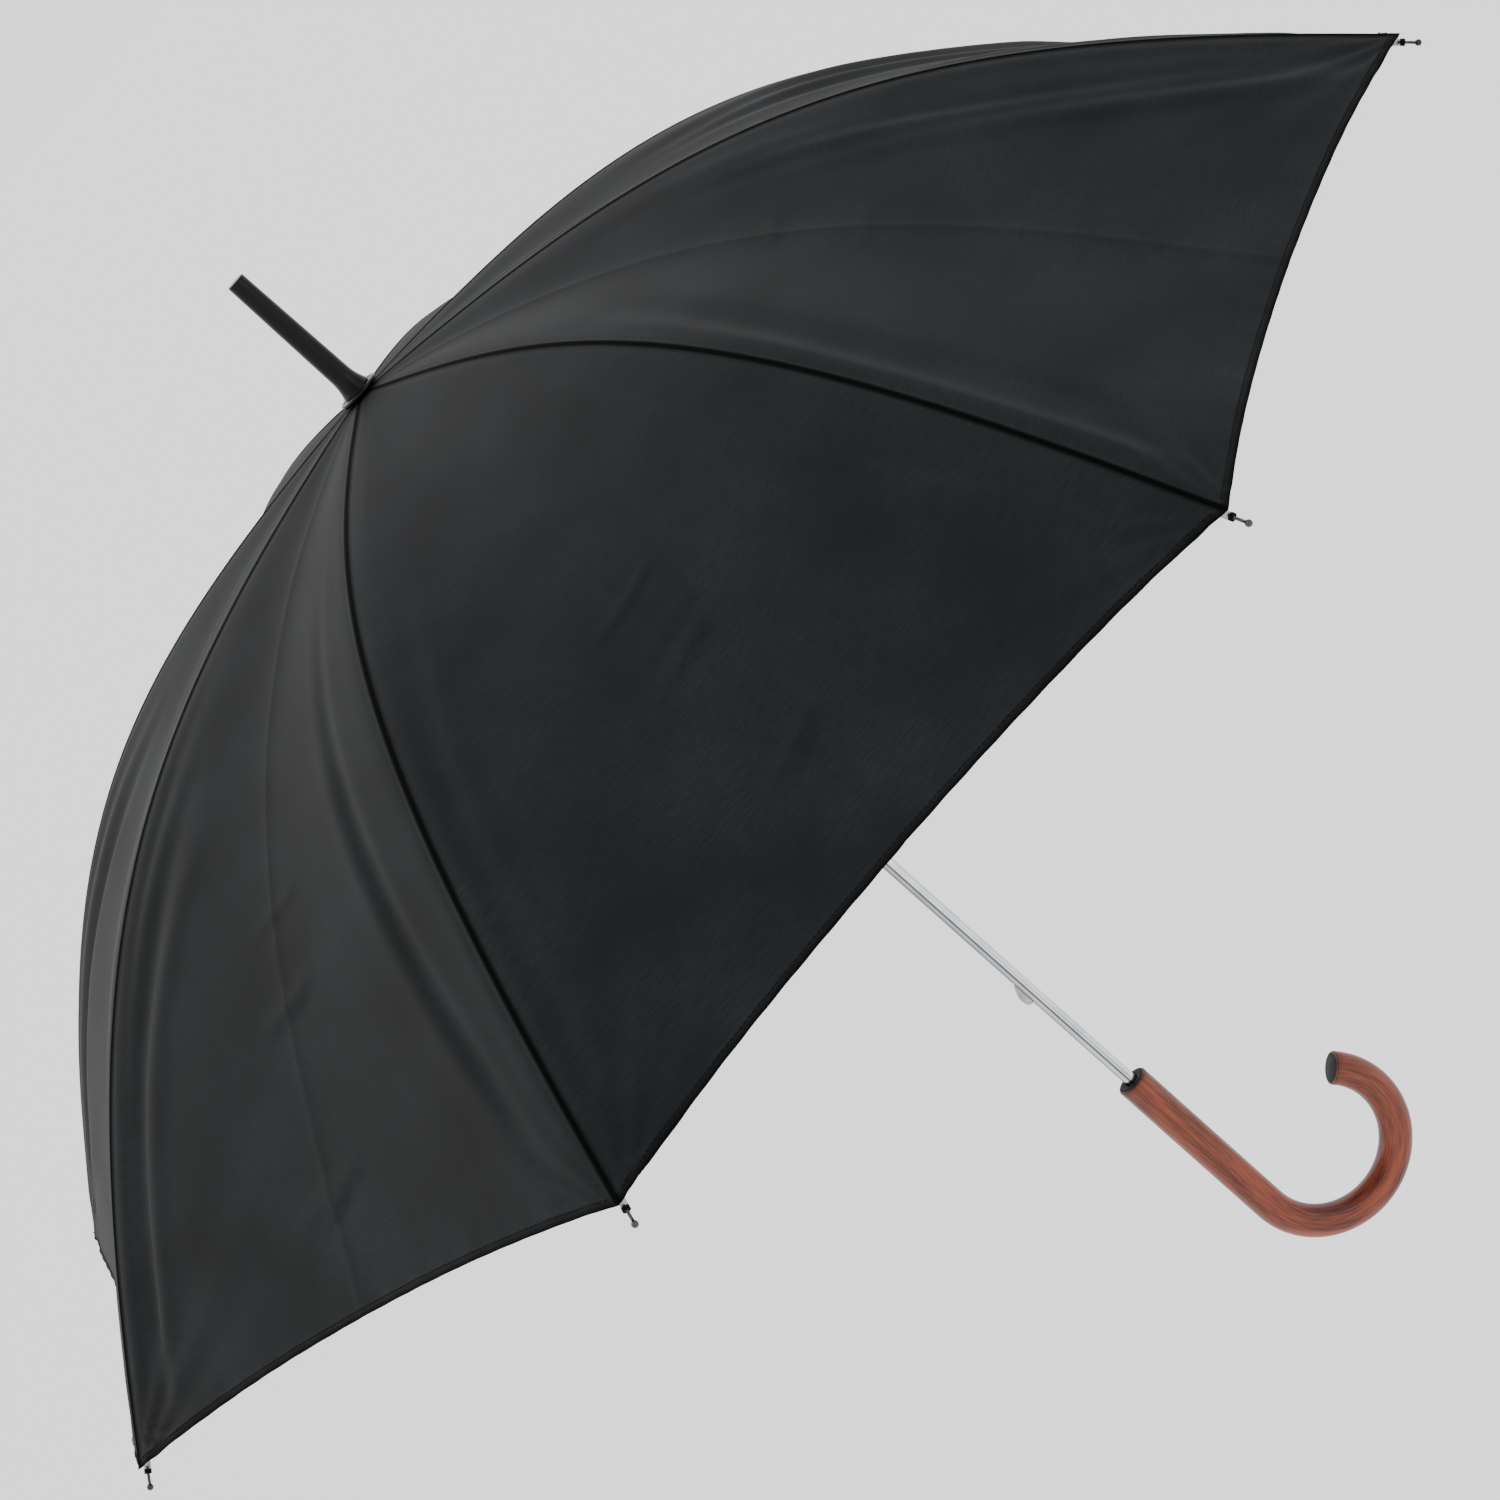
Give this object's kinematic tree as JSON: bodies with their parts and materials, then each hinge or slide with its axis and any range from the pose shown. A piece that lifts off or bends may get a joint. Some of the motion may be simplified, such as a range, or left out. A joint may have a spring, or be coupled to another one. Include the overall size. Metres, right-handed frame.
{
  "type": "stick umbrella",
  "caption": "Open black stick umbrella with a chromed shaft, long plastic ferrule, folding rib frame and a stained wooden crook handle.",
  "frame": {"origin": "on the shaft's axis, half-way up the straight grip of the handle, where a hand holds it", "axes": "+Z along the shaft towards the ferrule, +X the way the crook bends"},
  "size_m": [0.99, 0.99, 0.8812],
  "materials": {
    "black_taffeta": "satin",
    "black_plastic": "gloss",
    "chromed_tube": "polished",
    "nickelled_steel": "satin",
    "spring_steel": "satin",
    "stained_wood": "satin"
  },
  "bodies": {
    "shaft": {"shaft_tube": "chromed_tube", "crook_handle": "stained_wood", "ferrule": "black_plastic", "ferrule_washer": "black_plastic", "crown": "black_plastic", "crown_wire": "spring_steel"},
    "runner": {"runner": "black_plastic", "runner_wire": "spring_steel"},
    "bottom_catch": {"bottom_catch": "spring_steel"},
    "top_catch": {"top_catch": "spring_steel"},
    "rib_inner_1": {"rib_inner_1": "nickelled_steel", "cover_upper_1": "black_taffeta"},
    "rib_outer_1": {"rib_outer_1": "nickelled_steel", "rib_tip_1": "nickelled_steel", "cover_lower_1": "black_taffeta"},
    "stretcher_1": {"stretcher_1": "nickelled_steel"},
    "rib_inner_2": {"rib_inner_2": "nickelled_steel", "cover_upper_2": "black_taffeta"},
    "rib_outer_2": {"rib_outer_2": "nickelled_steel", "rib_tip_2": "nickelled_steel", "cover_lower_2": "black_taffeta"},
    "stretcher_2": {"stretcher_2": "nickelled_steel"},
    "rib_inner_3": {"rib_inner_3": "nickelled_steel", "cover_upper_3": "black_taffeta"},
    "rib_outer_3": {"rib_outer_3": "nickelled_steel", "rib_tip_3": "nickelled_steel", "cover_lower_3": "black_taffeta", "tie_band": "black_taffeta", "tie_stud": "black_plastic"},
    "stretcher_3": {"stretcher_3": "nickelled_steel"},
    "rib_inner_4": {"rib_inner_4": "nickelled_steel", "cover_upper_4": "black_taffeta"},
    "rib_outer_4": {"rib_outer_4": "nickelled_steel", "rib_tip_4": "nickelled_steel", "cover_lower_4": "black_taffeta"},
    "stretcher_4": {"stretcher_4": "nickelled_steel"},
    "rib_inner_5": {"rib_inner_5": "nickelled_steel", "cover_upper_5": "black_taffeta"},
    "rib_outer_5": {"rib_outer_5": "nickelled_steel", "rib_tip_5": "nickelled_steel", "cover_lower_5": "black_taffeta"},
    "stretcher_5": {"stretcher_5": "nickelled_steel"},
    "rib_inner_6": {"rib_inner_6": "nickelled_steel", "cover_upper_6": "black_taffeta"},
    "rib_outer_6": {"rib_outer_6": "nickelled_steel", "rib_tip_6": "nickelled_steel", "cover_lower_6": "black_taffeta"},
    "stretcher_6": {"stretcher_6": "nickelled_steel"},
    "rib_inner_7": {"rib_inner_7": "nickelled_steel", "cover_upper_7": "black_taffeta"},
    "rib_outer_7": {"rib_outer_7": "nickelled_steel", "rib_tip_7": "nickelled_steel", "cover_lower_7": "black_taffeta"},
    "stretcher_7": {"stretcher_7": "nickelled_steel"},
    "rib_inner_8": {"rib_inner_8": "nickelled_steel", "cover_upper_8": "black_taffeta"},
    "rib_outer_8": {"rib_outer_8": "nickelled_steel", "rib_tip_8": "nickelled_steel", "cover_lower_8": "black_taffeta"},
    "stretcher_8": {"stretcher_8": "nickelled_steel"}
  },
  "joints": [
    {"name": "rib_fold_1", "type": "hinge", "parent": "shaft", "child": "rib_inner_1", "pos_m": [0.00924, 0.00383, 0.66629], "axis": [-0.3827, 0.9239, 0], "range_deg": [0, 74.4], "deforming": ["cover_upper_1", "cover_lower_1", "cover_upper_2", "cover_lower_2", "cover_upper_3", "cover_lower_3", "cover_upper_4", "cover_lower_4", "cover_upper_5", "cover_lower_5", "cover_upper_6", "cover_lower_6", "cover_upper_7", "cover_lower_7", "cover_upper_8", "cover_lower_8", "tie_band", "tie_stud", "bottom_catch", "top_catch"]},
    {"name": "rib_flex_1", "type": "hinge", "parent": "rib_inner_1", "child": "rib_outer_1", "pos_m": [0.233, 0.09651, 0.62487], "axis": [-0.3827, 0.9239, 0], "range_deg": [-24.6, 0]},
    {"name": "stretcher_fold_1", "type": "hinge", "parent": "rib_inner_1", "child": "stretcher_1", "pos_m": [0.22534, 0.09334, 0.62236], "axis": [-0.3827, 0.9239, 0], "range_deg": [-148.9, 0]},
    {"name": "rib_fold_2", "type": "hinge", "parent": "shaft", "child": "rib_inner_2", "pos_m": [0.00383, 0.00924, 0.66629], "axis": [-0.9239, 0.3827, 0], "range_deg": [0, 74.4]},
    {"name": "rib_flex_2", "type": "hinge", "parent": "rib_inner_2", "child": "rib_outer_2", "pos_m": [0.09651, 0.233, 0.62487], "axis": [-0.9239, 0.3827, 0], "range_deg": [-24.6, 0]},
    {"name": "stretcher_fold_2", "type": "hinge", "parent": "rib_inner_2", "child": "stretcher_2", "pos_m": [0.09334, 0.22534, 0.62236], "axis": [-0.9239, 0.3827, 0], "range_deg": [-148.9, 0]},
    {"name": "rib_fold_3", "type": "hinge", "parent": "shaft", "child": "rib_inner_3", "pos_m": [-0.00383, 0.00924, 0.66629], "axis": [-0.9239, -0.3827, 0], "range_deg": [0, 74.4]},
    {"name": "rib_flex_3", "type": "hinge", "parent": "rib_inner_3", "child": "rib_outer_3", "pos_m": [-0.09651, 0.233, 0.62487], "axis": [-0.9239, -0.3827, 0], "range_deg": [-24.6, 0]},
    {"name": "stretcher_fold_3", "type": "hinge", "parent": "rib_inner_3", "child": "stretcher_3", "pos_m": [-0.09334, 0.22534, 0.62236], "axis": [-0.9239, -0.3827, 0], "range_deg": [-148.9, 0]},
    {"name": "rib_fold_4", "type": "hinge", "parent": "shaft", "child": "rib_inner_4", "pos_m": [-0.00924, 0.00383, 0.66629], "axis": [-0.3827, -0.9239, 0], "range_deg": [0, 74.4]},
    {"name": "rib_flex_4", "type": "hinge", "parent": "rib_inner_4", "child": "rib_outer_4", "pos_m": [-0.233, 0.09651, 0.62487], "axis": [-0.3827, -0.9239, 0], "range_deg": [-24.6, 0]},
    {"name": "stretcher_fold_4", "type": "hinge", "parent": "rib_inner_4", "child": "stretcher_4", "pos_m": [-0.22534, 0.09334, 0.62236], "axis": [-0.3827, -0.9239, 0], "range_deg": [-148.9, 0]},
    {"name": "rib_fold_5", "type": "hinge", "parent": "shaft", "child": "rib_inner_5", "pos_m": [-0.00924, -0.00383, 0.66629], "axis": [0.3827, -0.9239, 0], "range_deg": [0, 74.4]},
    {"name": "rib_flex_5", "type": "hinge", "parent": "rib_inner_5", "child": "rib_outer_5", "pos_m": [-0.233, -0.09651, 0.62487], "axis": [0.3827, -0.9239, 0], "range_deg": [-24.6, 0]},
    {"name": "stretcher_fold_5", "type": "hinge", "parent": "rib_inner_5", "child": "stretcher_5", "pos_m": [-0.22534, -0.09334, 0.62236], "axis": [0.3827, -0.9239, 0], "range_deg": [-148.9, 0]},
    {"name": "rib_fold_6", "type": "hinge", "parent": "shaft", "child": "rib_inner_6", "pos_m": [-0.00383, -0.00924, 0.66629], "axis": [0.9239, -0.3827, 0], "range_deg": [0, 74.4]},
    {"name": "rib_flex_6", "type": "hinge", "parent": "rib_inner_6", "child": "rib_outer_6", "pos_m": [-0.09651, -0.233, 0.62487], "axis": [0.9239, -0.3827, 0], "range_deg": [-24.6, 0]},
    {"name": "stretcher_fold_6", "type": "hinge", "parent": "rib_inner_6", "child": "stretcher_6", "pos_m": [-0.09334, -0.22534, 0.62236], "axis": [0.9239, -0.3827, 0], "range_deg": [-148.9, 0]},
    {"name": "rib_fold_7", "type": "hinge", "parent": "shaft", "child": "rib_inner_7", "pos_m": [0.00383, -0.00924, 0.66629], "axis": [0.9239, 0.3827, 0], "range_deg": [0, 74.4]},
    {"name": "rib_flex_7", "type": "hinge", "parent": "rib_inner_7", "child": "rib_outer_7", "pos_m": [0.09651, -0.233, 0.62487], "axis": [0.9239, 0.3827, 0], "range_deg": [-24.6, 0]},
    {"name": "stretcher_fold_7", "type": "hinge", "parent": "rib_inner_7", "child": "stretcher_7", "pos_m": [0.09334, -0.22534, 0.62236], "axis": [0.9239, 0.3827, 0], "range_deg": [-148.9, 0]},
    {"name": "rib_fold_8", "type": "hinge", "parent": "shaft", "child": "rib_inner_8", "pos_m": [0.00924, -0.00383, 0.66629], "axis": [0.3827, 0.9239, 0], "range_deg": [0, 74.4]},
    {"name": "rib_flex_8", "type": "hinge", "parent": "rib_inner_8", "child": "rib_outer_8", "pos_m": [0.233, -0.09651, 0.62487], "axis": [0.3827, 0.9239, 0], "range_deg": [-24.6, 0]},
    {"name": "stretcher_fold_8", "type": "hinge", "parent": "rib_inner_8", "child": "stretcher_8", "pos_m": [0.22534, -0.09334, 0.62236], "axis": [0.3827, 0.9239, 0], "range_deg": [-148.9, 0]},
    {"name": "runner_travel", "type": "hinge", "parent": "stretcher_1", "child": "runner", "pos_m": [0.00924, 0.00383, 0.57843], "axis": [-0.3827, 0.9239, 0], "range_deg": [0, 74.5]},
    {"name": "bottom_catch_press", "type": "hinge", "parent": "shaft", "child": "bottom_catch", "pos_m": [-0.0028, 0, 0.1577], "axis": [0, -1, 0], "range_deg": [0, 20], "stiffness_Nm_per_rad": 0.02},
    {"name": "top_catch_press", "type": "hinge", "parent": "shaft", "child": "top_catch", "pos_m": [-0.0028, 0, 0.50343], "axis": [0, 1, 0], "range_deg": [0, 20], "stiffness_Nm_per_rad": 0.02}
  ],
  "couplings": [
    {"joint": "rib_flex_1", "follows": "rib_fold_1", "ratio": -0.33},
    {"joint": "stretcher_fold_1", "follows": "rib_fold_1", "ratio": -2},
    {"joint": "rib_fold_2", "follows": "rib_fold_1", "ratio": 1},
    {"joint": "rib_flex_2", "follows": "rib_fold_1", "ratio": -0.33},
    {"joint": "stretcher_fold_2", "follows": "rib_fold_1", "ratio": -2},
    {"joint": "rib_fold_3", "follows": "rib_fold_1", "ratio": 1},
    {"joint": "rib_flex_3", "follows": "rib_fold_1", "ratio": -0.33},
    {"joint": "stretcher_fold_3", "follows": "rib_fold_1", "ratio": -2},
    {"joint": "rib_fold_4", "follows": "rib_fold_1", "ratio": 1},
    {"joint": "rib_flex_4", "follows": "rib_fold_1", "ratio": -0.33},
    {"joint": "stretcher_fold_4", "follows": "rib_fold_1", "ratio": -2},
    {"joint": "rib_fold_5", "follows": "rib_fold_1", "ratio": 1},
    {"joint": "rib_flex_5", "follows": "rib_fold_1", "ratio": -0.33},
    {"joint": "stretcher_fold_5", "follows": "rib_fold_1", "ratio": -2},
    {"joint": "rib_fold_6", "follows": "rib_fold_1", "ratio": 1},
    {"joint": "rib_flex_6", "follows": "rib_fold_1", "ratio": -0.33},
    {"joint": "stretcher_fold_6", "follows": "rib_fold_1", "ratio": -2},
    {"joint": "rib_fold_7", "follows": "rib_fold_1", "ratio": 1},
    {"joint": "rib_flex_7", "follows": "rib_fold_1", "ratio": -0.33},
    {"joint": "stretcher_fold_7", "follows": "rib_fold_1", "ratio": -2},
    {"joint": "rib_fold_8", "follows": "rib_fold_1", "ratio": 1},
    {"joint": "rib_flex_8", "follows": "rib_fold_1", "ratio": -0.33},
    {"joint": "stretcher_fold_8", "follows": "rib_fold_1", "ratio": -2},
    {"joint": "runner_travel", "follows": "rib_fold_1", "ratio": 1}
  ]
}
